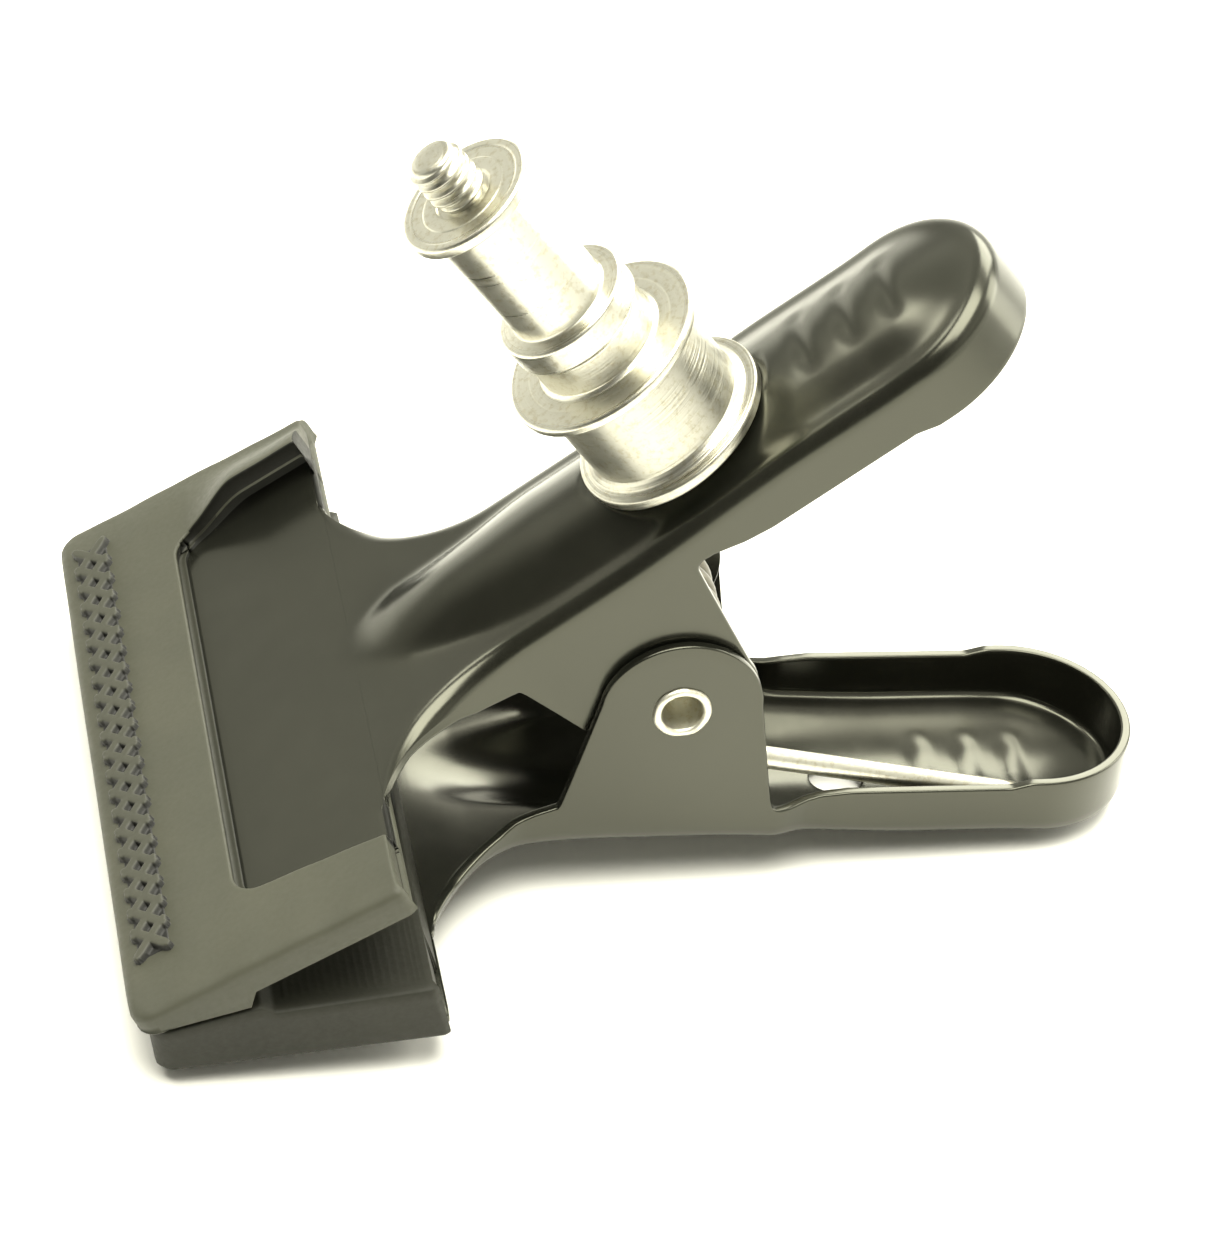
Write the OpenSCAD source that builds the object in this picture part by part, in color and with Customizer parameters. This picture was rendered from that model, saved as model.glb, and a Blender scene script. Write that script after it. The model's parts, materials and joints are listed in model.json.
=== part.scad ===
// Spring clamp with a 16 mm spigot: two pressed steel levers on a tubular rivet,
// a torsion spring between them, a moulded rubber boot on each jaw and a turned
// spigot on the upper handle.
//
// Each lever is drawn in its own frame: the pivot axis is Y, the handle runs
// along +X, the jaw along -X, and +Z points outward, away from the other lever.

/* [Sheet steel] */
// Thickness of the lever sheet
sheet = 1.2; // [1:0.1:1.3]

/* [Handles] */
// Outer width of the channel-shaped handles
handle_w = 26.2; // [25.8:0.2:27.4]
// Distance from the pivot to the centre of the rounded handle end
handle_reach = 45.3; // [44:0.1:60]
// Distance from the pivot axis to the outer face of a handle's shoulder
back_h = 19.6; // [19.2:0.1:20]
// Distance from the pivot axis to the rim of a handle's side walls
rim_h = 13.9; // [13.5:0.1:14.5]
// Angle between the two handles with the jaws shut
handle_angle = 41; // [39:0.5:43]

/* [Raised rib] */
// Height of the pressed rib above the shoulder of the handle
rib_h = 4; // [3.5:0.1:4.5]
// Radius of the rib's rounded back
rib_r = 14; // [13:0.1:15]
// Number of finger grooves pressed across the rib
groove_count = 3; // [1:1:4]
// Depth of a finger groove
groove_depth = 0.4; // [0.2:0.1:0.6]

/* [Jaws] */
// Width of a jaw over its rubber boot
jaw_w = 87.2; // [80:0.2:95]
// Distance from the pivot to the front face of the boot, along the jaw
jaw_reach = 64.3; // [62:0.1:70]
// Angle by which the jaw plate is bent outward from the handle
jaw_bend = 7.45; // [7:0.05:8]
// Distance from the pivot axis to the outer face of the jaw plate
jaw_h = 18; // [17.8:0.1:18.4]

/* [Rubber boots] */
// Thickness of the rubber over the outer face, sides and front of the jaw plate
boot_skin = 2.1; // [1.6:0.1:2.4]
// Height of the raised lattice band near the front edge of a boot
band_h = 0.7; // [0.3:0.1:1]

/* [Pivot] */
// Radius of the rounded pivot ears
ear_r = 9.2; // [8.8:0.1:10]
// Radius of the rivet's shank
rivet_r = 2.9; // [2.5:0.05:3.2]

/* [Spring] */
// Diameter of the spring wire
wire_d = 2.6; // [2.2:0.1:2.7]
// Mean radius of the coil
coil_r = 6.3; // [5.8:0.1:7]
// Whole turns between the two legs
coil_turns = 6; // [4:1:6]

/* [Spigot] */
// Radius of the spigot's two bearing bands (5/8 inch standard)
spigot_r = 7.94; // [7.9:0.01:8]
// Radius of the 1/4 inch thread at the tip
thread_r = 3.175; // [3:0.025:3.3]
// Distance along the handle from the pivot to the spigot's axis
spigot_x = 17.7; // [17:0.1:19]

/* [Hidden] */
$fn = 96;
eps = 0.01;

// Levers
half_w = handle_w / 2;
rim_end_h = rim_h - 0.8;
crest_h = back_h + rib_h;
rib_axis_h = crest_h - rib_r;
rib_front_x = -14;
edge_r = 2;
neck_x = -9;
neck_r = 20.5;
neck_half = 27;
neck_flange_x = -25;
flange_end_h = 0.4;
groove_x0 = 34.4;
groove_pitch = 5.6;
groove_r = 2.5;
groove_half = 4.2;

// The lower lever's ears stand outside the upper lever's, one sheet and a gap further out
ear_gap = 0.25;
ear_step = sheet + ear_gap;
bay_x0 = -17;
bay_x1 = 13;
bay_x2 = 17.5;
ear_front_slope = 0.215;
ear_rear_slope = 0.19;
notch_h = rim_h + 1.4;

// Jaw plate and boot, along the bent jaw
plate_front = jaw_reach - boot_skin;
plate_rear = 31.2;
plate_half = jaw_w / 2 - boot_skin - 0.2;
plate_corner_r = 3.5;
upper_boot_rear = 30.7;
lower_boot_rear = 32;
boot_corner_r = 3;
boot_edge_r = 1.5;
boot_top = jaw_h + boot_skin;
window_front = 49.2;
window_half = 33.2;
grip_front_x = 50.4;
upper_grip_h = [15.7, 15.8];
lower_grip_h = [10.6, 11.1];
land_gap = 0.06;
band_x0 = 62.2;
band_x1 = 57.2;
band_half = 36;
// Slopes of the boots' closing lands, seen from the jaw plate: the jaws meet a little below the
// middle of the angle between the handles
closing_shift = 2.1;
upper_land_slope = tan(handle_angle / 2 + closing_shift - jaw_bend);
lower_land_slope = tan(handle_angle / 2 - closing_shift - jaw_bend);
land_x = 51.9;

// Rivet
rivet_bore_r = 2.35;
rivet_bore_depth = 7;
rivet_lip_r = 0.5;
rivet_head_r = 4.6;
rivet_head_h = 1.1;
pivot_play = 0.05;
ear_out = half_w + ear_step;

// Spigot
seat_h = crest_h - 0.25;
seat_r = 5.2;
seat_inner_h = seat_h - 2.05;
screw_r = 2.95;
screw_hole_r = 3.2;
spare_hole_x = 24;
base_top = 37;
thread_base = 64.6;
thread_top = 70.8;

// Spring
leg_y = 9.5;
leg_root_angle = 25;
leg_angle = 11.2;
leg_offset = 8.55;
leg_end_x = 42.6;
ring_sides = 10;
steps_per_turn = 20;
start_angle = -90 - leg_root_angle;
end_angle = handle_angle + leg_root_angle + 90 - 360 * (coil_turns + 1);
coil_steps = coil_turns * steps_per_turn + 7;

// Standing pose: the lower lever rests on its boot's band and on the end of its rib
foot = jaw_point(-band_x0, boot_top + band_h);
foot_to_rib = [handle_reach - foot[0], foot[1] - rib_axis_h];
tilt = atan2(foot_to_rib[1], foot_to_rib[0]) - asin(rib_r / norm(foot_to_rib));
lift = foot[1] * cos(tilt) - foot[0] * -sin(tilt);
upper_edge = upper_point(jaw_point(-jaw_reach + boot_edge_r, boot_top - boot_edge_r));
x_min = levelled_x(upper_edge) - boot_edge_r;
x_max = (handle_reach + half_w) * cos(tilt) - rim_end_h * sin(tilt);
centre_x = (x_min + x_max) / 2;

// A point given along the bent jaw, in the lever's own X and Z
function jaw_point(s, h) = [s * cos(jaw_bend) + h * sin(jaw_bend), -s * sin(jaw_bend) + h * cos(jaw_bend)];
// Height of the jaw plate's plane at x, for a plane that lies h from the pivot
function jaw_plane(x, h) = (h - x * sin(jaw_bend)) / cos(jaw_bend);
// Where the jaw plane meets the handle's shoulder, both moved inward by inset
function bend_x(inset) = (jaw_h - inset - (back_h - inset) * cos(jaw_bend)) / sin(jaw_bend);
// Distance in front of the pivot, seen square to the handle, of a place along the jaw plate
function plan_x(s) = s * cos(jaw_bend) - (jaw_h - sheet / 2) * sin(jaw_bend);
function upper_point(p) = [p[0] * cos(handle_angle) - p[1] * sin(handle_angle),
                           p[0] * sin(handle_angle) + p[1] * cos(handle_angle)];
function levelled_x(p) = p[0] * cos(tilt) + p[1] * sin(tilt);

// ---- frames ----

module stand() translate([-centre_x, 0, lift]) rotate([0, tilt, 0]) children();
module lower_frame() stand() mirror([0, 0, 1]) children();
module upper_frame() stand() rotate([0, -handle_angle, 0]) children();
// Frame of the bent jaw: X along the jaw, Z away from its plate
module jaw_frame() rotate([0, jaw_bend, 0]) children();
// Extrudes an outline drawn in the lever's X and Z across the whole lever
module across(width) rotate([90, 0, 0]) translate([0, 0, -width / 2]) linear_extrude(width) children();

// ---- levers ----

// Plan outline of handle, neck and jaw plate; the hollow's outline is the same, inset by
// the sheet, and open over the whole jaw plate, which has no walls
module lever_plan(inset, bay) {
    w = half_w - inset;
    translate([handle_reach, 0]) circle(r = w);
    translate([neck_x - 1, -w]) square([handle_reach - neck_x + 1, 2 * w]);
    difference() {
        translate([neck_x - neck_r, -neck_half]) square([neck_r, 2 * neck_half]);
        for (side = [-1, 1]) translate([neck_x, side * (half_w + neck_r)]) circle(r = neck_r + inset);
    }
    if (bay) for (side = [-1, 1]) scale([1, side])
        polygon([[bay_x0 + inset, 0], [bay_x0 + inset, w + ear_step], [bay_x1 - inset / 4, w + ear_step],
                 [bay_x2 - inset / 4, w], [bay_x2 - inset / 4, 0]]);
    if (inset > 0) translate([-80, -60]) square([80 + neck_flange_x, 120]);
    else head_plan();
}
module head_plan() rounded_front(plan_x(plate_front), plan_x(plate_rear), plate_half, plate_corner_r);

// Side outline of everything under the outer face of shoulder and jaw plate
module under_back(inset) {
    far = -80;
    polygon([[80, -20], [80, back_h - inset], [bend_x(inset), back_h - inset],
             [far, jaw_plane(far, jaw_h - inset)], [far, -20]]);
}

// Side outline of the pivot ears and of the walls above their rim
module wall_side() {
    polygon([[-80, 0], [neck_flange_x - 1, 0],
             [neck_flange_x - 1, jaw_plane(neck_flange_x, jaw_h - sheet - flange_end_h)],
             [neck_flange_x, jaw_plane(neck_flange_x, jaw_h - sheet - flange_end_h)],
             [-21.5, rim_h + 4.6], [-17, rim_h + 2.3], [-14.6, rim_h + 0.8], [12, rim_h + 0.8],
             [12.6, notch_h], [15, notch_h], [18.5, rim_h + 0.6], [22, rim_h], [42, rim_h],
             [44, rim_end_h], [80, rim_end_h], [80, 60], [-80, 60]]);
    circle(r = ear_r);
    front = atan(ear_front_slope);
    rear = atan(ear_rear_slope);
    polygon([ear_r * [-cos(front), -sin(front)],
             [-ear_r / cos(front) - ear_front_slope * notch_h, notch_h],
             [ear_r / cos(rear) + ear_rear_slope * notch_h, notch_h],
             ear_r * [cos(rear), -sin(rear)]]);
}

module rib_section(r) intersection() {
    translate([0, rib_axis_h]) circle(r = r);
    translate([-r, back_h - sheet - eps]) square([2 * r, r]);
}

// Long raised rib with rounded ends
module rib(r) {
    translate([rib_front_x, 0, 0]) rotate([90, 0, 90]) linear_extrude(handle_reach - rib_front_x) rib_section(r);
    for (x = [rib_front_x, handle_reach]) translate([x, 0, 0]) rotate_extrude()
        intersection() { rib_section(r); translate([0, -50]) square(100); }
}

module finger_grooves() for (i = [0 : groove_count - 1])
    translate([groove_x0 + i * groove_pitch, groove_half, crest_h - groove_depth + groove_r])
        rotate([90, 0, 0]) cylinder(r = groove_r, h = 2 * groove_half);

// Cutter that rounds the outer edge along the handle and round its end
module edge_rounding() {
    for (side = [-1, 1]) scale([1, side, 1]) translate([bay_x2, 0, 0]) rotate([90, 0, 90])
        linear_extrude(handle_reach - bay_x2) edge_corner();
    translate([handle_reach, 0, 0]) rotate([0, 0, -90]) rotate_extrude(angle = 180) edge_corner();
}
module edge_corner() difference() {
    translate([half_w - edge_r, back_h - edge_r]) square(edge_r + 1);
    translate([half_w - edge_r, back_h - edge_r]) circle(r = edge_r);
}

// Rectangle from x = -front to x = -rear whose two front corners are round
module rounded_front(front, rear, half, r) {
    translate([-front + r, -half]) square([front - rear - r, 2 * half]);
    translate([-front, -half + r]) square([front - rear, 2 * (half - r)]);
    for (side = [-1, 1]) translate([-front + r, side * (half - r)]) circle(r = r);
}

module lever(bay, pivot_hole_r) difference() {
    union() {
        difference() {
            intersection() {
                translate([0, 0, -20]) linear_extrude(80) lever_plan(0, bay);
                across(100) intersection() { wall_side(); under_back(0); }
            }
            intersection() {
                translate([0, 0, -20]) linear_extrude(80) lever_plan(sheet, bay);
                across(100) under_back(sheet);
            }
            edge_rounding();
        }
        intersection() {
            rib(rib_r);
            across(100) difference() {
                translate([-80, 0]) square([160, 60]);
                under_back(sheet);
            }
        }
    }
    rib(rib_r - sheet);
    finger_grooves();
    rotate([90, 0, 0]) cylinder(r = pivot_hole_r, h = 100, center = true);
}

module lower_lever() color("#4c4b42") lower_frame() difference() {
    lever(true, rivet_r);
    translate([spare_hole_x, 0, 0]) cylinder(r = screw_hole_r, h = 60);
}

module upper_lever() color("#4c4b42") upper_frame() difference() {
    union() {
        lever(false, rivet_r + pivot_play);
        translate([spigot_x, 0, seat_inner_h]) cylinder(r = seat_r, h = seat_h - seat_inner_h);
    }
    translate([spigot_x, 0, seat_h]) cylinder(r = 12.5, h = 10);
    translate([spigot_x, 0, 10]) cylinder(r = screw_hole_r, h = 30);
}

// ---- rubber boots ----

// Side outline of a boot: rounded front, closing land at the nose, grip face behind it
module boot_side(rear, grip_h, land_slope) {
    nose_h = land_slope * jaw_reach + land_gap;
    difference() {
        polygon([[-rear, boot_top], [-jaw_reach, boot_top], [-jaw_reach, nose_h],
                 [-land_x, land_slope * land_x + land_gap], [-grip_front_x, grip_h[1]],
                 [-rear, grip_h[0]]]);
        translate([-jaw_reach, boot_top]) difference() {
            translate([-1, -boot_edge_r]) square(boot_edge_r + 1);
            translate([boot_edge_r, -boot_edge_r]) circle(r = boot_edge_r);
        }
    }
}

module boot(rear, grip_h, land_slope) difference() {
    jaw_frame() difference() {
        union() {
            intersection() {
                linear_extrude(40) rounded_front(jaw_reach, rear, jaw_w / 2, boot_corner_r);
                across(jaw_w + 2) boot_side(rear, grip_h, land_slope);
            }
            translate([-band_x0, -band_half, boot_top - 1])
                cube([band_x0 - band_x1, 2 * band_half, band_h + 1]);
        }
        // Window over the plate, open to the rear
        translate([0, 0, jaw_h - eps]) linear_extrude(20)
            rounded_front(window_front, 0, window_half, plate_corner_r);
    }
    // Pocket for the jaw plate, open to the rear
    intersection() {
        translate([0, 0, -20]) linear_extrude(80)
            rounded_front(plan_x(plate_front), plan_x(upper_boot_rear) - 1, plate_half, plate_corner_r);
        across(100) difference() {
            under_back(0);
            under_back(sheet);
        }
    }
}

module lower_jaw_boot() color("#5d5b4f") lower_frame() boot(lower_boot_rear, lower_grip_h, lower_land_slope);
module upper_jaw_boot() color("#5d5b4f") upper_frame() boot(upper_boot_rear, upper_grip_h, upper_land_slope);

// ---- pivot ----

// Semi-tubular rivet: rolled lip at the near end, flat head at the far end
module pivot_rivet() color("#e4e0cf") stand() rotate([90, 0, 0]) difference() {
    union() {
        cylinder(r = rivet_r, h = 2 * ear_out + rivet_lip_r, center = true);
        translate([0, 0, ear_out + rivet_lip_r]) rotate_extrude()
            translate([rivet_r, 0]) circle(r = rivet_lip_r);
        mirror([0, 0, 1]) translate([0, 0, ear_out]) {
            cylinder(r = rivet_head_r, h = rivet_head_h / 2);
            translate([0, 0, rivet_head_h / 2])
                cylinder(r1 = rivet_head_r, r2 = rivet_head_r - 1, h = rivet_head_h / 2);
        }
    }
    translate([0, 0, ear_out - rivet_bore_depth]) cylinder(r = rivet_bore_r, h = rivet_bore_depth + 2);
    translate([0, 0, ear_out - rivet_bore_depth - 1]) cylinder(r1 = 0.6, r2 = rivet_bore_r, h = 1);
}

// ---- spring ----

// Each leg leaves the coil at a steep angle and bends to run along its handle's floor.
// A leg's points lie in the lever's own X and Z: end of the coil, bend, cut end.
leg_bend = leg_root_angle - leg_angle;
leg_root_len = (leg_offset - coil_r * cos(leg_bend)) / sin(leg_bend);
leg_root = coil_r * [-sin(leg_root_angle), cos(leg_root_angle)];
leg_knee = leg_root + leg_root_len * [cos(leg_root_angle), sin(leg_root_angle)];
leg_tip = leg_knee + (leg_end_x - leg_knee[0]) * [1, tan(leg_angle)];
// A ring is the wire's centre, the direction away from the coil's axis, and the wire's direction
function lower_ring(p, a, y) = [[p[0], y, -p[1]], [-sin(a), 0, -cos(a)], [-cos(a), 0, sin(a)]];
function upper_ring(p, a, y) = let (q = upper_point(p), b = handle_angle + a)
    [[q[0], y, q[1]], [-sin(b), 0, cos(b)], [cos(b), 0, sin(b)]];
function coil_ring(i) = let (a = start_angle + (end_angle - start_angle) * i / coil_steps)
    [[coil_r * cos(a), -leg_y + 2 * leg_y * i / coil_steps, coil_r * sin(a)], [cos(a), 0, sin(a)],
     [sin(a), 0, -cos(a)]];
mid_angle = (leg_root_angle + leg_angle) / 2;
wire_rings = concat(
    [lower_ring(leg_tip, leg_angle, -leg_y), lower_ring(leg_knee, mid_angle, -leg_y)],
    [for (i = [0 : coil_steps]) coil_ring(i)],
    [upper_ring(leg_knee, mid_angle, leg_y), upper_ring(leg_tip, leg_angle, leg_y)]);

module torsion_spring() color("#d9d5c4") stand() {
    pts = [for (ring = wire_rings, k = [0 : ring_sides - 1])
        ring[0] + wire_d / 2 * (cos(360 * k / ring_sides) * ring[1]
            + sin(360 * k / ring_sides) * cross(ring[2], ring[1]))];
    last = (len(wire_rings) - 1) * ring_sides;
    polyhedron(pts, concat(
        [[for (k = [0 : ring_sides - 1]) k]],
        [for (i = [0 : len(wire_rings) - 2], k = [0 : ring_sides - 1])
            let (a = i * ring_sides, b = a + ring_sides, n = (k + 1) % ring_sides)
            [a + k, b + k, b + n, a + n]],
        [[for (k = [ring_sides - 1 : -1 : 0]) last + k]]));
}

// ---- spigot ----

module on_spigot_axis(h) upper_frame() translate([spigot_x, 0, h]) children();

module spigot_base() color("#dcd7c3") on_spigot_axis(seat_h) difference() {
    union() {
        cylinder(r = 11.8, h = 1.3);
        translate([0, 0, 1.3]) cylinder(r1 = 11, r2 = 9.7, h = 1.3);
        cylinder(r = 9.7, h = base_top - seat_h);
    }
    translate([0, 0, -1]) cylinder(r = screw_r, h = 7);
    translate([0, 0, base_top - seat_h - 7]) cylinder(r = 4, h = 8);
}

module spigot() color("#e3dfcd") on_spigot_axis(0) {
    translate([0, 0, base_top - 6.5]) cylinder(r = 4, h = 7);
    translate([0, 0, base_top]) cylinder(r = 12, h = 1.3);
    translate([0, 0, base_top + 1]) cylinder(r = 7.4, h = 5.6);
    translate([0, 0, 43.2]) cylinder(r = spigot_r, h = 3);
    translate([0, 0, 46.1]) cylinder(r = 5.88, h = 17);
    translate([0, 0, 63]) cylinder(r = spigot_r, h = thread_base - 63);
    translate([0, 0, thread_base - 1]) cylinder(r = thread_r, h = thread_top - thread_base + 0.5);
    translate([0, 0, thread_top - 0.5]) cylinder(r1 = thread_r, r2 = thread_r - 0.5, h = 0.5);
}

module spigot_screw() color("#c9c5b4") on_spigot_axis(0) difference() {
    union() {
        translate([0, 0, seat_inner_h - 2.6]) cylinder(r = 4.4, h = 2.6);
        translate([0, 0, seat_inner_h - 1]) cylinder(r = screw_r, h = seat_h - seat_inner_h + 6);
    }
    translate([0, 0, seat_inner_h - 3]) cylinder(r = 1.73, h = 2, $fn = 6);
}

lower_lever();
upper_lever();
lower_jaw_boot();
upper_jaw_boot();
pivot_rivet();
torsion_spring();
spigot_base();
spigot();
spigot_screw();
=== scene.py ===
import json
import math

import bmesh
import bpy
import numpy as np
from mathutils import Matrix, Vector


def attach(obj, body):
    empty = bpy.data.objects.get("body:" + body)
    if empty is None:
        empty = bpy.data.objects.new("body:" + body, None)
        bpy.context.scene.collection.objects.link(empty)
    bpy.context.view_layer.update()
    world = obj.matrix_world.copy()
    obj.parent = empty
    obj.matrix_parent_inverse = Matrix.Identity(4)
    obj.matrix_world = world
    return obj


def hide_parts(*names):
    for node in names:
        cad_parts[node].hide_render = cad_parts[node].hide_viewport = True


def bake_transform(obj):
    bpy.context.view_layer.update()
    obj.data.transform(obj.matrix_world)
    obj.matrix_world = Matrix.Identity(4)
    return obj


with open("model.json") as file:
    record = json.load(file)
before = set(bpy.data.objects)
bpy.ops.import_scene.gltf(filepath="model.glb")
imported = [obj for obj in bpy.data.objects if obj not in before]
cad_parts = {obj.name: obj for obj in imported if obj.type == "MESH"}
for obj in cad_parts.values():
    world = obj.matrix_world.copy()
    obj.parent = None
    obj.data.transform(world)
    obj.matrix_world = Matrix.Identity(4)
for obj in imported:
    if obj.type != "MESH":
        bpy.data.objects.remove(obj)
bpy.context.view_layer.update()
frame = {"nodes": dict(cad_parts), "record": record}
record = frame["record"]
scene = bpy.context.scene

# ---------------------------------------------------------------- frames
# Each lever has its own axes in mm, from the pivot: u along the handle, y along the pivot, n outward.
mounts = {m["name"]: m for m in record["mounts"]}
pin = Vector(record["behaviour"]["joints"][0]["pos_m"])
low_n = Vector(mounts["spare_hole"]["axis"])
up_n = Vector(mounts["spigot_bands"]["axis"])
low_u = Vector((-low_n.z, 0, low_n.x))
up_u = Vector((up_n.z, 0, -up_n.x))
Y = Vector((0, 1, 0))
AXES = {"lower": (low_u, low_n), "upper": (up_u, up_n)}
BEND = math.radians(7.45)  # the jaw plate's turn away from the handle, about y
OPEN = math.radians(41)  # the angle between the two handles, jaws shut
JAW_H = 18.0  # outer face of the jaw plate, in its own bent axes
SHEET = 1.2
MM = Matrix.Diagonal((0.001, 0.001, 0.001, 1))


def axes_matrix(x, y, z, origin):
    """Matrix whose columns are three axes and an origin."""
    out = Matrix.Identity(4)
    for i in range(3):
        out[i] = (x[i], y[i], z[i], origin[i])
    return out


def lever_matrix(side, turn=0.0, at=(0.0, 0.0, 0.0)):
    """Matrix from a lever's own mm (u, y, n), turned about y by turn, to the shared frame."""
    u, n = AXES[side]
    return axes_matrix(u, Y, n, pin) @ MM @ Matrix.Translation(at) @ Matrix.Rotation(turn, 4, "Y")


def unit_matrix(m):
    """The same place without the mm scale, so that an object's own units stay metres."""
    out = m.copy()
    for i in range(3):
        for k in range(3):
            out[i][k] *= 1000
    return out


# ---------------------------------------------------------------- mesh helpers
def fix_normals(mesh, merge=0.0):
    """Turns every face outward, after merging points that are closer than merge metres."""
    bm = bmesh.new()
    bm.from_mesh(mesh)
    if merge:
        bmesh.ops.remove_doubles(bm, verts=bm.verts, dist=merge)
    bmesh.ops.recalc_face_normals(bm, faces=bm.faces)
    bm.to_mesh(mesh)
    bm.free()


def make_object(name, verts, faces, matrix, body, replaces=None, baked=False):
    """Object from mm vertices in the space of matrix; its own space keeps those axes unless baked."""
    mesh = bpy.data.meshes.new(name)
    v = np.asarray(verts, float) * 0.001
    mesh.from_pydata(v.tolist(), [], [list(map(int, f)) for f in faces])
    fix_normals(mesh, 1e-7)
    mesh.shade_smooth()
    ob = bpy.data.objects.new(name, mesh)
    scene.collection.objects.link(ob)
    if baked:
        mesh.transform(unit_matrix(matrix))
        fix_normals(mesh)
    else:
        ob.matrix_world = unit_matrix(matrix)
    if body:
        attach(ob, body)
    if replaces:
        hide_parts(replaces)
    return ob


def smoothstep(x, a, b):
    """0 before a, 1 after b, and a smooth climb between."""
    t = np.clip((np.asarray(x, float) - a) / (b - a), 0, 1)
    return t * t * (3 - 2 * t)


def smooth_max(a, b, k):
    """The larger of a and b, with their crossing rounded over about k."""
    return 0.5 * (a + b + np.sqrt((a - b) ** 2 + k * k))


def grid_faces(rows, cols, base=0, wrap=False, holes=()):
    """Quads over a grid of points numbered row by row from base; wrap joins each row's two ends.

    Each hole is a block of quads left out, given by the points at its first and last row and column.
    """
    out = []
    for i in range(rows - 1):
        for j in range(cols if wrap else cols - 1):
            if any(i0 <= i < i1 and j0 <= j < j1 for i0, i1, j0, j1 in holes):
                continue
            k = (j + 1) % cols
            out.append((base + i * cols + j, base + i * cols + k,
                        base + (i + 1) * cols + k, base + (i + 1) * cols + j))
    return out


def border(rows, cols):
    """The numbers of the points round a grid, in order."""
    idx = np.arange(rows * cols).reshape(rows, cols)
    return np.concatenate([idx[:-1, 0], idx[-1, :-1], idx[:0:-1, -1], idx[0, :0:-1]])


def lathe(profile, segments, ripple=None):
    """Verts and faces of (radius, height) points turned about z, closed on the axis at both ends."""
    verts, faces, rings = [], [], []
    for r, z in profile:
        if r < 1e-6:
            rings.append([len(verts)])
            verts.append((0, 0, z))
            continue
        ring = []
        for j in range(segments):
            a = 2 * math.pi * j / segments
            rr, zz = (r, z) if ripple is None else ripple(r, z, a)
            ring.append(len(verts))
            verts.append((rr * math.cos(a), rr * math.sin(a), zz))
        rings.append(ring)
    for a, b in zip(rings, rings[1:]):
        n = max(len(a), len(b))
        for j in range(n):
            k = (j + 1) % n
            if len(a) == 1 and len(b) == 1:
                continue
            if len(a) == 1:
                faces.append((a[0], b[k], b[j]))
            elif len(b) == 1:
                faces.append((a[j], a[k], b[0]))
            else:
                faces.append((a[j], a[k], b[k], b[j]))
    return verts, faces


def rounded(points, radius, steps=3):
    """Profile points with each sharp corner replaced by a small arc."""
    out = [points[0]]
    for p, q, r in zip(points, points[1:], points[2:]):
        a, b = np.subtract(p, q), np.subtract(r, q)
        la, lb = np.linalg.norm(a), np.linalg.norm(b)
        if la < 1e-9 or lb < 1e-9:
            continue
        turn = np.cross(a / la, b / lb)
        if abs(turn) < 0.2:
            out.append(tuple(q))
            continue
        half = 0.5 * math.acos(max(-1, min(1, float(np.dot(a / la, b / lb)))))
        rr = min(radius, 0.45 * min(la, lb) * math.tan(half))
        cut = rr / math.tan(half)
        s, e = q + a / la * cut, q + b / lb * cut
        for i in range(steps + 1):
            t = i / steps
            m = (1 - t) ** 2 * s + 2 * t * (1 - t) * np.asarray(q, float) + t * t * e
            out.append(tuple(m))
    out.append(points[-1])
    return out


# ---------------------------------------------------------------- pressed sheet
def thicken(verts, faces, thickness, edge_r=0.28):
    """Closed shell from an outer surface: an inner copy one thickness in, and rounded edges between."""
    mesh = bpy.data.meshes.new("tmp")
    mesh.from_pydata([tuple(v) for v in verts], [], [list(map(int, f)) for f in faces])
    bm = bmesh.new()
    bm.from_mesh(mesh)
    bpy.data.meshes.remove(mesh)
    bmesh.ops.remove_doubles(bm, verts=bm.verts, dist=2e-4)
    bmesh.ops.dissolve_degenerate(bm, dist=1e-5, edges=bm.edges)
    bmesh.ops.recalc_face_normals(bm, faces=bm.faces)
    bm.verts.ensure_lookup_table()
    # the topmost face has to look outward
    top = max(bm.faces, key=lambda f: f.calc_center_median().z)
    if top.normal.z < 0:
        bmesh.ops.reverse_faces(bm, faces=bm.faces)
    bm.normal_update()
    bm.verts.index_update()
    outer = np.array([v.co for v in bm.verts])
    normal = np.array([v.normal for v in bm.verts])
    out_faces = [[v.index for v in f.verts] for f in bm.faces]
    n = len(outer)
    vs = [outer, outer - thickness * normal]
    fs = list(out_faces) + [[n + i for i in reversed(f)] for f in out_faces]
    rim = {}
    for e in bm.edges:
        if len(e.link_faces) == 1:
            loop = e.link_loops[0]
            rim[loop.vert.index] = loop.link_loop_next.vert.index
    count = 2 * n
    extra = []
    while rim:
        start = next(iter(rim))
        ring = [start]
        while ring[-1] in rim:
            ring.append(rim.pop(ring[-1]))
            if ring[-1] == start:
                break
        ring = ring[:-1]
        m = len(ring)
        p, nn = outer[ring], normal[ring]
        chord = np.roll(p, -1, 0) - p
        chord /= np.maximum(np.linalg.norm(chord, axis=1, keepdims=True), 1e-9)
        tangent = chord + np.roll(chord, 1, 0)
        side = np.cross(tangent, nn)
        side /= np.maximum(np.linalg.norm(side, axis=1, keepdims=True), 1e-9)
        steps = [(math.sin(a), 1 - math.cos(a)) for a in (0.4, 0.8, 1.2, math.pi / 2)]
        rows = [p + edge_r * s * side - edge_r * d * nn for s, d in steps]
        rows += [p + edge_r * s * side - (thickness - edge_r * d) * nn for s, d in reversed(steps)]
        extra += rows
        strips = [ring] + [list(range(count + i * m, count + (i + 1) * m)) for i in range(len(rows))]
        strips.append([n + i for i in ring])
        count += m * len(rows)
        for a, b in zip(strips, strips[1:]):
            for j in range(m):
                k = (j + 1) % m
                fs.append([a[k], a[j], b[j], b[k]])
    bm.free()
    return np.vstack(vs + extra), fs


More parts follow.
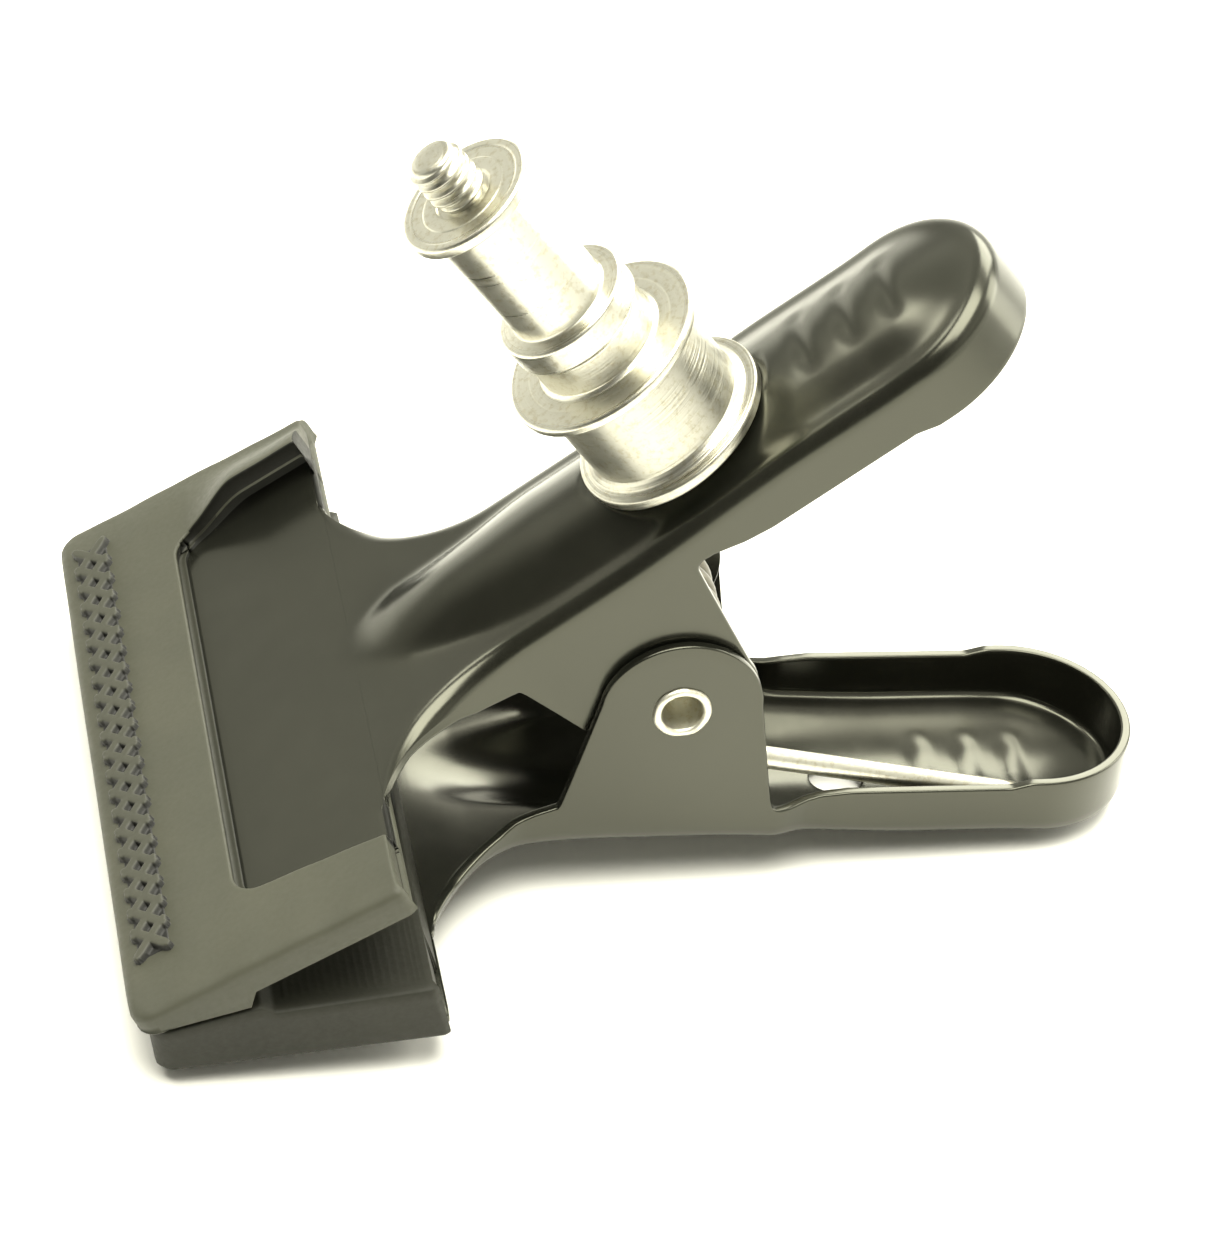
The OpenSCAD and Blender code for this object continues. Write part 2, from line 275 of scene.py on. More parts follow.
# ---------------------------------------------------------------- levers
HANDLE_W = 13.1  # half the handle's width
REACH = 45.3  # where the round end starts
BACK = 19.6  # height of the flat beside the rib
NECK_X, NECK_R = -9.0, 20.5  # centre and radius of the arcs at the waist
HEAD_FRONT, HEAD_HALF = -58.9, 41.0  # the jaw plate's front edge and half width
SPARE_X, SPARE_R = 24.0, 3.2
SPARE_FIELD = 5.6  # half side of the square of mesh round the spare hole
SPIGOT_X, SEAT_H, SEAT_R = 17.7, 23.35, 11.9
PIVOT_R = 3.15
PIVOT_FIELD = 4.4  # half length of the block of mesh round each pivot hole
PRESS_R = 2.2  # outer radius of the bend between top and walls
EAR_R = 9.2
JOGGLE = 1.45  # how far the outer lever's ears step out
GROOVES = (34.9, 40.6, 46.1)  # finger grooves across the rib
GROOVE_DEPTH, GROOVE_WIDTH, GROOVE_Y = 0.27, 1.15, 0.9
HALF_COLS = 24  # columns of mesh in half the handle's width
ACROSS = np.linspace(-1, 1, 2 * HALF_COLS + 1)
END_ANGLES = np.radians(np.linspace(-90, 90, 49))


def jaw_plane(x, h):
    """Height of the bent jaw's plane h over the handle's own axes."""
    return (h - x * math.sin(BEND)) / math.cos(BEND)


def lever_half_width(x, joggle):
    """Half width of handle and neck at x, with the outer lever's ears stepped out by joggle."""
    x = np.asarray(x, float)
    dx = np.clip(NECK_X - x, 0, NECK_R - 0.02)
    neck = np.where(x < NECK_X, NECK_R - np.sqrt(NECK_R ** 2 - dx ** 2), 0)
    if joggle == 0:
        return HANDLE_W + neck
    step = joggle * (1 - smoothstep(x, 12.8, 18.2))
    return HANDLE_W + smooth_max(step, neck, 0.5) - smooth_max(step, 0.0, 0.5) + step


def shoulder_rise(x):
    """The flat beside the rib climbs a little towards the end of the handle."""
    return 1.2 * smoothstep(x, 4.0, 32.0) + 0.7 * smoothstep(x, 40.0, 56.0)


def rib_height(x, y):
    """Height of the pressed rib above the flat of the lever."""
    stations = [-27.5, -25.5, -22, -18, -14, -9, -4, 90]
    heights = [0.0, 0.45, 1.4, 2.45, 3.25, 3.8, 4.0, 4.0]
    half_widths = [3.5, 4.6, 5.8, 6.8, 7.7, 8.8, 9.8, 9.8]
    spread = np.linspace(-2.2, 2.2, 7)
    crest = sum(np.interp(x + e, stations, heights) for e in spread) / len(spread) - shoulder_rise(x)
    half = sum(np.interp(x + e, stations, half_widths) for e in spread) / len(spread)
    r = np.where(x > REACH, np.hypot(x - REACH, y), np.abs(y))
    q = np.minimum((r / half) ** 2, 4)
    return smooth_max(crest * (1 - q) * (1 + 0.06 * q), 0, 0.75 * np.minimum(crest / 1.5, 1))


def lever_top(x, y):
    """Outer surface of the lever over its plan, as height n."""
    flat = smooth_max(BACK + shoulder_rise(x), jaw_plane(x, JAW_H), 0.5)
    n = flat + rib_height(x, y)
    across = 1 - smoothstep(np.abs(y - GROOVE_Y), 3.6, 6.6)
    for g in GROOVES:
        n = n - GROOVE_DEPTH * np.exp(-(((x - g) / GROOVE_WIDTH) ** 2)) * across
    return n


def seat(x, y, n):
    """Flattens the top of the rib under the spigot's base."""
    w = 1 - smoothstep(np.hypot(x - SPIGOT_X, y), SEAT_R, SEAT_R + 0.8)
    return n * (1 - w) + np.minimum(n, SEAT_H) * w


def ear_rim(x):
    """Height of the lower edge of walls and ears at x."""
    stations = [-28.7, -27.4, -24.6, -22.7, -20.9, -19, -17.4, -14.8, -13,
                12.2, 13.2, 15, 18.5, 22, 41.3, 43.8, 80]
    heights = [22.5, 20.8, 20.1, 19.1, 18.1, 17.15, 15.95, 14.8, 14.2,
               14.9, 15.3, 15.2, 14.3, 13.9, 13.9, 13.2, 13.2]
    rim = np.interp(x, stations, heights)
    # each ear is a round end between two leaning sides
    front = (-9.35 - x) / 0.215
    rear = (x - 9.25) / 0.19
    side = np.where(x < 0, front, rear)
    round_end = np.where(np.abs(x) < EAR_R, -np.sqrt(np.maximum(EAR_R ** 2 - x * x, 0)), 0)
    cut = math.atan(0.2)
    ear = np.where(np.abs(x) < EAR_R * math.cos(cut), round_end, side)
    # a small fillet where each ear's edge meets the rim
    return -smooth_max(-ear, -rim, 1.1) + 0.2


def lever_stations():
    """Stations along the half outline, from the head's rear corner to the start of the round end."""
    psi = np.radians(np.linspace(17.1, 66, 26))
    neck = NECK_X - NECK_R * np.cos(psi)
    ear = EAR_R * np.sin(np.radians(np.linspace(-78, 78, 53)))
    lean = np.array([9.02, 9.1, 9.25, 9.6, 10.2, 10.8, 11.4, 11.8, 12.05, 12.3, 12.6, 13.0, 13.5])
    front = np.array([9.02, 9.1, 9.3, 9.6, 10.2, 10.8, 11.4, 11.9, 12.2, 12.45, 12.7, 13.0, 13.5, 14.2])
    rest = np.concatenate([np.arange(14.2, SPARE_X - 6.3, 0.7),
                           np.linspace(SPARE_X - SPARE_FIELD, SPARE_X + SPARE_FIELD, 17),
                           np.arange(SPARE_X + 6.2, REACH - 0.3, 0.55), [REACH]])
    mid = np.arange(neck[-1] + 0.7, -14.5, 0.7)
    return np.unique(np.round(np.concatenate([neck, mid, -front, ear, lean, rest]), 4))


class Sheet:
    """Points and faces of one surface, gathered patch by patch."""

    def __init__(self):
        self.verts, self.faces = [], []

    def points(self, points):
        """Adds points and gives the number of the first."""
        first = len(self.verts)
        self.verts.extend(np.reshape(points, (-1, 3)).tolist())
        return first

    def grid(self, points, wrap=False, holes=()):
        """Adds rows of points and the quads between them, and gives the number of the first point."""
        first = self.points(points)
        self.faces.extend(grid_faces(len(points), len(points[0]), first, wrap, holes))
        return first


def hole_ring(i0, i1, j0, j1):
    """The grid points round a hole, in order."""
    return [(i, j0) for i in range(i0, i1)] + [(i1, j) for j in range(j0, j1)] \
        + [(i, j1) for i in range(i1, i0, -1)] + [(i0, j) for j in range(j1, j0, -1)]


def nearest(values, target):
    """The number of the value that is closest to target."""
    return int(np.argmin(np.abs(values - target)))


def lever_edge(joggle):
    """Half outline of handle and neck: stations, where the bend starts, its direction and its angle."""
    xs = lever_stations()
    d = 1e-3
    w = lever_half_width(xs, joggle)
    slope = (lever_half_width(xs + d, joggle) - lever_half_width(xs - d, joggle)) / (2 * d)
    slope[np.abs(xs - REACH) < 1e-6] = 0
    length = np.hypot(slope, 1)
    nx, ny = -slope / length, 1 / length
    # a full quarter turn where there is a wall, fading out towards the jaw plate
    ang = np.interp(xs, [-28.7, -26.5, -22.0, -19.5], [0.0, 0.5, 1.25, math.pi / 2])
    inset = PRESS_R * np.sin(ang)
    return xs, xs - nx * inset, w - ny * inset, nx, ny, ang


def add_top(sheet, edge, height, hole):
    """Top of handle and neck, with the spare hole if there is one."""
    xs, bx, by = edge[:3]
    gx = np.repeat(bx[:, None], len(ACROSS), 1)
    gy = by[:, None] * ACROSS[None, :]
    points = np.stack([gx, gy, height(gx, gy)], -1)
    if not hole:
        sheet.grid(points)
        return
    block = (nearest(xs, SPARE_X - SPARE_FIELD), nearest(xs, SPARE_X + SPARE_FIELD),
             HALF_COLS - 12, HALF_COLS + 12)
    sheet.grid(points, holes=[block])
    square = np.array([points[i, j, :2] for i, j in hole_ring(*block)])
    angle = np.arctan2(square[:, 1], square[:, 0] - SPARE_X)
    r = SPARE_R + 0.2
    circle = np.stack([SPARE_X + r * np.cos(angle), r * np.sin(angle)], -1)
    rings = []
    for f in np.linspace(0, 1, 8):
        p = circle * (1 - f) + square * f
        rings.append(np.column_stack([p, height(p[:, 0], p[:, 1])]))
    sheet.grid(rings, wrap=True)


def add_round_end(sheet, radius, height):
    """Round end of the handle's top, in rings about its centre."""
    rr = np.linspace(0, 1, HALF_COLS + 1)[1:] * radius
    px = REACH + np.outer(rr, np.cos(END_ANGLES))
    py = np.outer(rr, np.sin(END_ANGLES))
    first = sheet.grid(np.stack([px, py, height(px, py)], -1))
    centre = sheet.points([(REACH, 0.0, float(height(np.array(REACH), np.array(0.0))))])
    for j in range(len(END_ANGLES) - 1):
        sheet.faces.append((centre, first + j, first + j + 1))


def add_walls(sheet, edge, height):
    """Bend and walls: one strip down each side and round the end, with a pivot hole in each ear."""
    xs, bx, by, nx, ny, ang = edge
    outline = [(bx[i], -by[i], nx[i], -ny[i], ang[i], xs[i]) for i in range(len(xs))]
    for p in END_ANGLES[1:-1]:
        c, s = math.cos(p), math.sin(p)
        outline.append((REACH + by[-1] * c, by[-1] * s, c, s, math.pi / 2, REACH + 1))
    outline += [(bx[i], by[i], nx[i], ny[i], ang[i], xs[i]) for i in range(len(xs) - 1, -1, -1)]
    bend_steps, wall_steps = 7, 15
    columns = []
    for x0, y0, ox, oy, a, xo in outline:
        top = float(height(np.array(x0), np.array(y0)))
        column = []
        for q in (a * step / bend_steps for step in range(bend_steps + 1)):
            column.append((x0 + ox * PRESS_R * math.sin(q), y0 + oy * PRESS_R * math.sin(q),
                           top - PRESS_R * (1 - math.cos(q))))
        ex, ey, ez = column[-1]
        rim = min(float(ear_rim(np.array(xo))), ez)
        for f in (step / wall_steps for step in range(1, wall_steps + 1)):
            column.append((ex, ey, ez + (rim - ez) * f))
        columns.append(column)
    first = sheet.points(columns)
    left, right, end = nearest(xs, -PIVOT_FIELD), nearest(xs, PIVOT_FIELD), len(columns) - 1
    high, low = bend_steps + 8, bend_steps + 13
    ears = [(left, right, high, low), (end - right, end - left, high, low)]
    for ear in ears:
        square = np.array([columns[c][r] for c, r in hole_ring(*ear)])
        angle = np.arctan2(square[:, 2], square[:, 0])
        circle = np.stack([PIVOT_R * np.cos(angle), square[:, 1], PIVOT_R * np.sin(angle)], -1)
        sheet.grid([circle * (1 - f) + square * f for f in np.linspace(0, 1, 6)], wrap=True)
    sheet.faces.extend(grid_faces(len(columns), len(columns[0]), first, holes=ears))


def add_jaw_plate(sheet, x0, half, height):
    """Jaw plate in front of the neck, which it meets at x0 over plus and minus half."""
    hx = np.concatenate([[x0], np.arange(x0 - 0.6, -36, -0.6),
                         np.arange(-36, HEAD_FRONT, -2.0), [HEAD_FRONT]])
    wide = np.linspace(half, HEAD_HALF, 12)
    hy = np.concatenate([-wide[:0:-1], half * ACROSS, wide[1:]])
    gx, gy = np.meshgrid(hx, hy, indexing="ij")
    sheet.grid(np.stack([gx, gy, height(gx, gy)], -1))


def build_lever(side, joggle, hole):
    """Pressed lever, drawn as its outer surface and then thickened inward."""
    def height(x, y):
        n = lever_top(x, y)
        return seat(x, y, n) if side == "upper" else n

    edge = lever_edge(joggle)
    x_start, half_start = edge[1], edge[2]
    sheet = Sheet()
    add_top(sheet, edge, height, hole)
    add_round_end(sheet, half_start[-1], height)
    add_walls(sheet, edge, height)
    add_jaw_plate(sheet, x_start[0], half_start[0], height)
    verts, faces = thicken(sheet.verts, sheet.faces, SHEET)
    return make_object(side + "_pressed_lever", verts, faces, lever_matrix(side), side,
                       side + "_lever", baked=True)


# ---------------------------------------------------------------- rubber boots
# Drawn along the bent jaw: a is the distance in front of the pivot, y across, h outward.
BOOT_HALF, BOOT_FRONT = 43.55, 64.3
BOOT_REAR = {"upper": 30.7, "lower": 32.0}
BOOT_TOP, BAND_TOP = 20.1, 20.95  # the skin, and the top of the lattice band
WINDOW_A, WINDOW_Y, CORNER = 49.2, 33.2, 3.0  # the window's front, half width and corner radius
BOOT_MIDDLE = np.array([-46.0, 0.0])
EDGE = 1.3  # how far the sides stand out from the grid of the skin
REAR_EDGE, FRONT_R = 0.35, 1.5
CURL = 3.3  # how far the upper boot's far flap stands up
LEDGE, LEDGE_MID, LEDGE_TOP, POCKET_TOP = 0.6, -0.58, 18.55, 17.4
STEP_FOOT = 0.04  # the foot of each step of the window edge, just inside its top
LEAN_A, LEAN_RATE = 31.0, 2.0 / 18.2  # the window's sides lean in towards the front
# each lever's turn from the line where the boots meet
MEET = {"upper": math.radians(22.6), "lower": math.radians(18.4)}
LAND = {side: math.tan(angle - BEND) for side, angle in MEET.items()}
STEP_A, LAND_A, LAND_GAP = 50.4, 51.9, 0.06  # the step up to the land, and half the gap between lands
GRIP = {"upper": (15.7, 15.8), "lower": (10.6, 11.1)}  # height of the grip face, rear and front


def grip_height(side, a):
    """Lower face of a boot: flat behind, then a small step to the land that meets the other jaw."""
    land, (rear, front) = LAND[side], GRIP[side]
    return np.interp(a, [BOOT_REAR[side], STEP_A, LAND_A, BOOT_FRONT],
                     [rear, front, LAND_A * land + LAND_GAP, BOOT_FRONT * land + LAND_GAP])


def window_lean(a):
    """How much wider than WINDOW_Y the window is at a."""
    return 0.8 - LEAN_RATE * (a - LEAN_A)


def warp(p, q):
    """Bends a square grid so that its lines follow the window's round corners and leaning sides."""
    c = (WINDOW_A - CORNER, WINDOW_Y - CORNER)
    u, v = p - c[0], np.abs(q) - c[1]
    rho = np.maximum(u, v)
    inside = (u > 0) & (v > 0)
    ratio = np.where(inside, np.minimum(u, v) / np.maximum(rho, 1e-9), 0)
    phi = np.where(u >= v, ratio, 2 - ratio) * math.pi / 4
    beta = 1 - smoothstep(rho, CORNER + 1.5, CORNER + 5.5)
    uu = u + inside * beta * (rho * np.cos(phi) - u)
    vv = v + inside * beta * (rho * np.sin(phi) - v)
    a = c[0] + uu
    y = c[1] + vv
    y = y + window_lean(a) * smoothstep(y, 20, 32) * (1 - smoothstep(y, 36, 42))
    return a, np.where(q < 0, -y, y)


def boot_height(p, q, crown):
    """Top of the boot over its square grid: skin with its stepped window edge."""
    d = np.maximum(p - WINDOW_A, np.abs(q) - WINDOW_Y)
    r = 0.3
    skin = BOOT_TOP - r + np.sqrt(np.maximum(r * r - np.clip(r - d, 0, r) ** 2, 0))
    skin = skin - crown * smoothstep(np.abs(q), 36.5, 43.5) ** 2
    return np.where(d >= 0, skin, np.where(d > -LEDGE, LEDGE_TOP, POCKET_TOP))


def round_corners(a, y, radius, lo, hi, half):
    """Maps the front corners of a rectangle of points to quarter circles, and eases the rear ones."""
    for end, sign, r in ((hi, 1, radius), (lo, -1, 0.3)):
        u = (a - (end - sign * r)) * sign / r
        v = (np.abs(y) - (half - r)) / r
        m = (u > 0) & (v > 0)
        uu = np.where(m, u * np.sqrt(np.maximum(1 - v * v / 2, 0)), u)
        vv = np.where(m, v * np.sqrt(np.maximum(1 - u * u / 2, 0)), v)
        a = np.where(m, end - sign * r + sign * uu * r, a)
        y = np.where(m, np.sign(y) * (half - r + vv * r), y)
    return a, y


def undercut(p, q):
    """Draws the foot of each step of the window edge in under the step."""
    dp, dq = p - WINDOW_A, np.abs(q) - WINDOW_Y
    near = 0.011
    for level, move in ((-STEP_FOOT, 0.45), (-STEP_FOOT - LEDGE, 0.35)):
        p = p + move * ((np.abs(dp - level) < near) & (dq < 0.01))
        q = q + np.sign(q) * move * ((np.abs(dq - level) < near) & (dp < 0.01))
    return p, q


def boot_grid(lo, hi, half):
    """The square grid of a boot, with its lines close together at the window's edge."""
    ledge_lines = np.array([-STEP_FOOT - LEDGE, LEDGE_MID, -STEP_FOOT, 0, 0.12, 0.3, 0.55])
    p = np.concatenate([
        np.arange(lo, WINDOW_A - 0.8, 0.3), WINDOW_A + ledge_lines, WINDOW_A + np.array([-0.4, -0.2, 0.9]),
        np.arange(STEP_A, hi, 0.3), [hi]])
    q = np.concatenate([
        np.arange(0, WINDOW_Y - 2.9, 1.6), WINDOW_Y + ledge_lines,
        WINDOW_Y + np.array([-3, -2.2, -1.5, -1.0, -0.3, 0.9]), np.arange(WINDOW_Y + 1.5, half, 0.6), [half]])
    lines = [np.unique(np.round(v, 4)) for v in (p, np.concatenate([-q, q]))]
    return np.meshgrid(*lines, indexing="ij")


def curl_flap(p, q, y, top):
    """The far flap of the upper boot has let go of the plate: it curls up along its inner edge."""
    inner = q - WINDOW_Y
    curl = smoothstep(48.0 - p, 0, 9.0) * (q > 0)
    top = top + CURL * curl * (1 - smoothstep(inner, -0.3, 8.5)) * (inner > -0.6)
    on_line = [np.abs(inner - line) < 0.02 for line in (-STEP_FOOT - LEDGE, LEDGE_MID, -0.3)]
    y = y + curl * np.select(on_line, [3.5, 0.4, 0.2], 0.0)
    return y, top - 0.9 * curl * (inner > -LEDGE) * (inner < -0.03)


def boot_sides(side, flat, skin, grip, lo):
    """Rows of points round a boot's flat outline, between the borders of its skin and its grip face."""
    top_h, bottom_h = skin[:, 2], grip[:, 2]
    tangent = np.roll(flat, -1, 0) - np.roll(flat, 1, 0)
    out = np.stack([-tangent[:, 1], tangent[:, 0]], -1)
    out /= np.linalg.norm(out, axis=1, keepdims=True)
    if np.mean(np.sum(out * (flat - BOOT_MIDDLE), 1)) < 0:
        out = -out
    behind = flat[:, 0] > -(lo + 0.02)
    edge_r = np.minimum(np.where(behind, 0.3, 1.0), 0.3 * (top_h - bottom_h))
    width = np.where(behind, REAR_EDGE, EDGE)
    draft = 0.6 if side == "lower" else 0.15
    rows = []

    def row(f, height, ofs, inset=0.0):
        """One row round the boot: f runs from the skin to the grip face, ofs out from the inner ring."""
        ring = skin[:, :2] * (1 - f) + grip[:, :2] * f
        lean = draft * (1 - f) * ~behind
        rows.append(np.column_stack([ring + out * (ofs - lean - inset)[:, None], height]))

    for t in np.linspace(0, math.pi / 2, 6)[1:]:
        row(0.0, top_h - edge_r * (1 - math.cos(t)), width * math.sin(t))
    # the rear of the upper boot shows a groove along each side of the plate
    slot = 0.7 * behind * (np.abs(flat[:, 1]) < 41.2) * (np.abs(flat[:, 1]) > 27.5)
    level = top_h - edge_r
    for height, inset, part in ((18.05, 0.0, 0.2), (18.0, 1.0, 0.4), (16.8, 1.0, 0.6), (16.75, 0.0, 0.8)):
        if side == "upper":
            f = np.clip((level - height) / (level - bottom_h), 0.02, 0.98)
            row(0.5, np.where(behind, height, level + (bottom_h - level) * f), width, inset * slot)
        else:
            row(part, level + (bottom_h + 0.3 * edge_r - level) * part, width)
    for t in np.linspace(math.pi / 2, 0, 4)[:-1]:
        row(1.0, bottom_h + 0.3 * edge_r * (1 - math.cos(t)), width * math.sin(t))
    return rows


def build_boot(side):
    """Rubber boot: skin and grip face over one grid, and the rows of its sides between them."""
    lo, hi, half = BOOT_REAR[side] + 0.35, BOOT_FRONT - EDGE, BOOT_HALF - EDGE
    p, q = boot_grid(lo, hi, half)
    a, y = round_corners(*warp(*undercut(p, q)), FRONT_R, lo, hi, half)
    grip_a, grip_y = round_corners(*warp(p, q), FRONT_R, lo, hi, half)
    top = boot_height(p, q, 0.55 if side == "upper" else 1.5)
    # the skin is faintly uneven, and the grip face carries fine ridges along the jaw
    wave = 0.05 * np.sin(a * 0.35 + 1.0) * np.cos(y * 0.22) + 0.03 * np.sin(a * 0.9 + y * 0.13)
    top = np.where(top > 19.4, top + wave, top)
    ridges = 0.022 * np.cos(2 * math.pi * grip_a / 0.9) * (grip_a < 50.0) * (np.abs(grip_y) < half - 0.8)
    shift = np.zeros_like(a)
    if side == "upper":
        y, top = curl_flap(p, q, y, top)
    else:
        # the outer skin runs a little less far back than the grip face
        shift = 0.8 * (1 - smoothstep(p, lo, lo + 3.0))
    skin = np.stack([-a + shift, y, top], -1).reshape(-1, 3)
    grip = np.stack([-grip_a - shift, grip_y, grip_height(side, grip_a) + ridges], -1).reshape(-1, 3)
    loop = border(*p.shape)
    flat = np.stack([-grip_a, grip_y], -1).reshape(-1, 2)[loop]
    rows = boot_sides(side, flat, skin[loop], grip[loop], lo)
    faces = grid_faces(*p.shape) + grid_faces(*p.shape, len(skin))
    first, around = 2 * len(skin), len(loop)
    numbers = [first + i * around + np.arange(around) for i in range(len(rows))]
    for upper_row, lower_row in zip([loop] + numbers, numbers + [loop + len(skin)]):
        for j in range(around):
            k = (j + 1) % around
            faces.append((upper_row[j], upper_row[k], lower_row[k], lower_row[j]))
    return make_object(side + "_boot", np.vstack([skin, grip] + rows), faces, lever_matrix(side, BEND), side,
                       side + "_jaw_boot", baked=True)


def build_lattice(side):
    """Raised criss-cross band near the front of a boot: crossing arms standing on the skin."""
    y0, pitch, cells = -34.5, 3.43, 21
    a0, a1 = 57.3, 62.1
    mid, hw = 0.5 * (a0 + a1), 1.55
    arm, reach = 0.64, 1.26
    rows, cols = 37, cells * 22 + 21
    a = np.linspace(a0 - 0.25, a1 + 0.25, rows)
    y = np.linspace(y0 - 1.7, y0 + cells * pitch + 1.7, cols)
    A, Yy = np.meshgrid(a, y, indexing="ij")
    eta = (A - mid) / hw
    xi = (Yy - y0) / pitch
    cell = np.clip(np.floor(xi), 0, cells - 1)
    f = 2 * (xi - cell) - 1
    scale = 1 / math.hypot(1 / hw, 2 / pitch)
    best = np.full(A.shape, 9.0)
    # the distance to the nearest arm of this cell's cross or of a neighbour's
    for shift in (-2.0, 0.0, 2.0):
        for slope in (-1, 1):
            ok = (cell + shift / 2 >= -0.01) & (cell + shift / 2 <= cells - 0.99)
            dist = np.abs(eta - slope * (f - shift)) * scale
            past = np.maximum(np.abs(eta) - reach, 0) * hw \
                + np.maximum(np.abs(f - shift) - reach, 0) * pitch / 2
            best = np.minimum(best, np.where(ok, np.hypot(dist, past * 1.2), 9.0))
    rise = 1 - smoothstep(best, arm - 0.12, arm + 0.14)
    bed = (np.abs(eta) < 1.25) & (xi > -0.1) & (xi < cells + 0.1)
    floor_h = np.where(bed, BOOT_TOP + 0.12, BOOT_TOP - 0.25)
    H = floor_h + rise * (BAND_TOP - floor_h) * (0.90 + 0.10 * np.cos(best * 2.0))
    base = np.stack([-A, Yy, np.full_like(H, BOOT_TOP - 0.9)], -1).reshape(-1, 3)
    verts = np.concatenate([np.stack([-A, Yy, H], -1).reshape(-1, 3), base])
    n = rows * cols
    faces = grid_faces(rows, cols) + grid_faces(rows, cols, n)
    loop = border(rows, cols)
    for j in range(len(loop)):
        k = (j + 1) % len(loop)
        faces.append((loop[j], loop[k], loop[k] + n, loop[j] + n))
    return make_object(side + "_lattice", verts, faces, lever_matrix(side, BEND), side,
                       baked=(side == "lower"))


# ---------------------------------------------------------------- pivot, spring, spigot
def build_rivet():
    """Semi-tubular rivet: hollow end with its rolled lip at -y, flat head at +y."""
    face = 14.55
    cup = [(0, -face + 7.6), (1.2, -face + 7.3), (2.2, -face + 6.4), (2.32, -face + 5.6), (2.36, -face + 1.0)]
    lip = [(2.40 + 0.50 * (1 - math.cos(t)), -face - 0.02 - 0.50 * math.sin(t))
           for t in np.linspace(0.15, math.pi - 0.1, 12)]
    shank = [(3.38, -face + 0.14), (2.88, -face + 0.3), (2.88, face - 0.05), (4.5, face - 0.02),
             (4.6, face + 0.35), (4.45, face + 0.75), (3.9, face + 1.0), (2.4, face + 1.08), (0, face + 1.1)]

    def ripple(r, z, a):
        if z > -face + 0.6 or r < 2.38:
            return r, z
        s = 0.025 * math.cos(7 * a + 0.6) + 0.02 * math.cos(4 * a)
        return r + s * (1 if r > 2.6 else 0.5), z - 0.6 * s

    verts, faces = lathe(cup + lip + shank, 96, ripple)
    # turned about z here: swing z onto the pivot axis
    verts = [(x, z, -y) for x, y, z in verts]
    return make_object("rivet", verts, faces, lever_matrix("upper"), "lower", "pivot_rivet")


def upper_from(point):
    """A place given in the upper lever's own axes, in the lower lever's (u, y, up) axes."""
    x, y, n = point
    c, s = math.cos(OPEN), math.sin(OPEN)
    return np.array([x * c - n * s, y, x * s + n * c])


def build_spring():
    """Torsion spring: a leg in the lower handle, the coil round the rivet, a leg in the upper handle."""
    wire, coil, leg_y, turns = 1.3, 6.3, 9.5, 6
    root, lean, offset, end = math.radians(25), math.radians(11.2), 8.55, 42.9
    bend = root - lean
    run = (offset - coil * math.cos(bend)) / math.sin(bend)
    start = np.array([-math.sin(root), math.cos(root)]) * coil
    knee = start + run * np.array([math.cos(root), math.sin(root)])
    tip = knee + (end - knee[0]) * np.array([1, math.tan(lean)])
    s = np.linspace(0, 1, 9)
    a, b = knee + (start - knee) * 0.45, knee + (tip - knee) * 0.13
    curve = [(1 - t) ** 2 * b + 2 * t * (1 - t) * knee + t * t * a for t in s]
    leg = [tip + (b - tip) * t for t in np.linspace(0, 1, 18)[:-1]] + curve + [a + (start - a) * 0.5]
    path = [np.array([p[0], -leg_y, -p[1]]) for p in leg]
    a0 = -math.pi / 2 - root
    a1 = OPEN + root + math.pi / 2 - 2 * math.pi * (turns + 1)
    steps = 300
    for i in range(steps + 1):
        ang = a0 + (a1 - a0) * i / steps
        y = -leg_y + 2 * leg_y * i / steps
        path.append(np.array([coil * math.cos(ang), y, coil * math.sin(ang)]))
    path += [upper_from((p[0], leg_y, p[1])) for p in reversed(leg)]
    path = np.array(path)
    tangent = np.gradient(path, axis=0)
    tangent /= np.linalg.norm(tangent, axis=1, keepdims=True)
    sides = 20
    normal = np.cross(tangent[0], [0, 1.0, 0.0])
    rings = []
    for i in range(len(path)):
        normal = normal - tangent[i] * float(normal @ tangent[i])
        normal /= np.linalg.norm(normal)
        rings.append((path[i], tangent[i], normal.copy(), np.cross(tangent[i], normal)))
    verts = []

    def ring(c, u, v, r):
        """One row of points round the wire."""
        for t in np.linspace(0, 2 * math.pi, sides, endpoint=False):
            verts.append(tuple(c + r * (math.cos(t) * u + math.sin(t) * v)))

    cap = ((0.0, 0.0), (wire * 0.55, 0.0), (wire * 0.8, 0.05), (wire * 0.95, 0.2))
    c, along, u, v = rings[0]
    for r, back in cap:
        ring(c + along * back, u, v, r)
    for c, along, u, v in rings[1:-1]:
        ring(c, u, v, wire)
    c, along, u, v = rings[-1]
    for r, back in reversed(cap):
        ring(c - along * back, u, v, r)
    faces = grid_faces(len(verts) // sides, sides, wrap=True)
    lower_up = axes_matrix(low_u, Y, -low_n, pin) @ MM
    ob = make_object("spring", verts, faces, lower_up, None)
    ob.data.transform(ob.matrix_world)
    ob.matrix_world = Matrix.Identity(4)
    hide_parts("torsion_spring")
    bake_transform(ob)
    return ob


BASE_TOP = 37.0
BAND_R = 7.94


def spigot_piece(name, verts, faces, replaces=None):
    """A turned piece on the spigot's axis, which stands on the upper lever."""
    place = lever_matrix("upper", at=(SPIGOT_X, 0, 0))
    return make_object(name, verts, faces, place, "upper", replaces)


def build_spigot_base():
    """Turned drum with its foot flange."""
    profile = [(0, SEAT_H), (11.75, SEAT_H), (11.8, 24.75), (10.6, 25.0), (9.75, 25.9), (9.7, 36.7),
               (9.45, BASE_TOP), (0, BASE_TOP)]
    return spigot_piece("spigot_base_turned", *lathe(rounded(profile, 0.35), 160), "spigot_base")


